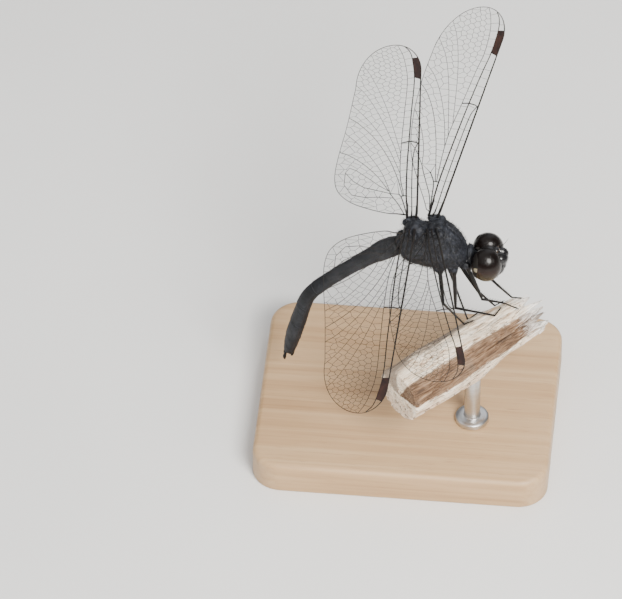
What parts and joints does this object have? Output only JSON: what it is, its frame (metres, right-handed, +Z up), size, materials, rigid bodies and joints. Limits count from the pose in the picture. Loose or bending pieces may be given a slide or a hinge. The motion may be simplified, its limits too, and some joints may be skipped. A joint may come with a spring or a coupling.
{
  "type": "dragonfly",
  "caption": "Life-size male dragonfly with wings spread and its tail bent down, gripping a short length of driftwood on a plain wooden display base with a short rod.",
  "frame": {"origin": "centre of the stand base's flat underside", "axes": "+X the way the head points, +Y the animal's left, +Z up"},
  "size_m": [0.03, 0.0538, 0.0329],
  "materials": {
    "body_shell": "dark slate blue-grey insect shell with a faint waxy bloom and fine hairs",
    "eye": "glossy faceted compound eye, black-brown above and olive brown below",
    "wing": "clear wing membrane with dark raised veins and a dark brown wing spot",
    "black_shell": "black, slightly glossy shell with fine spines",
    "driftwood": "weathered pinkish grey driftwood with a darker split face and frayed grain",
    "stand_wood": "plain pale maple, satin",
    "stand_steel": "turned and brushed"
  },
  "bodies": {
    "root": {"abdomen_1": "body_shell", "abdomen_10": "body_shell", "abdomen_2": "body_shell", "abdomen_3": "body_shell", "abdomen_4": "body_shell", "abdomen_5": "body_shell", "abdomen_6": "body_shell", "abdomen_7": "body_shell", "abdomen_8": "body_shell", "abdomen_9": "body_shell", "antenna_left": "black_shell", "antenna_right": "black_shell", "clasper_left": "black_shell", "clasper_lower": "black_shell", "clasper_right": "black_shell", "eye_left": "eye", "eye_right": "eye", "head": "body_shell", "leg_front_left_shin": "black_shell", "leg_front_left_thigh": "black_shell", "leg_front_right_shin": "black_shell", "leg_front_right_thigh": "black_shell", "leg_hind_left_shin": "black_shell", "leg_hind_left_thigh": "black_shell", "leg_hind_right_shin": "black_shell", "leg_hind_right_thigh": "black_shell", "leg_middle_left_shin": "black_shell", "leg_middle_left_thigh": "black_shell", "leg_middle_right_shin": "black_shell", "leg_middle_right_thigh": "black_shell", "perch": "driftwood", "prothorax": "body_shell", "stand_base": "stand_wood", "stand_rod": "stand_steel", "thorax": "body_shell", "wing_fore_left": "wing", "wing_fore_right": "wing", "wing_hind_left": "wing", "wing_hind_right": "wing"}
  },
  "joints": []
}
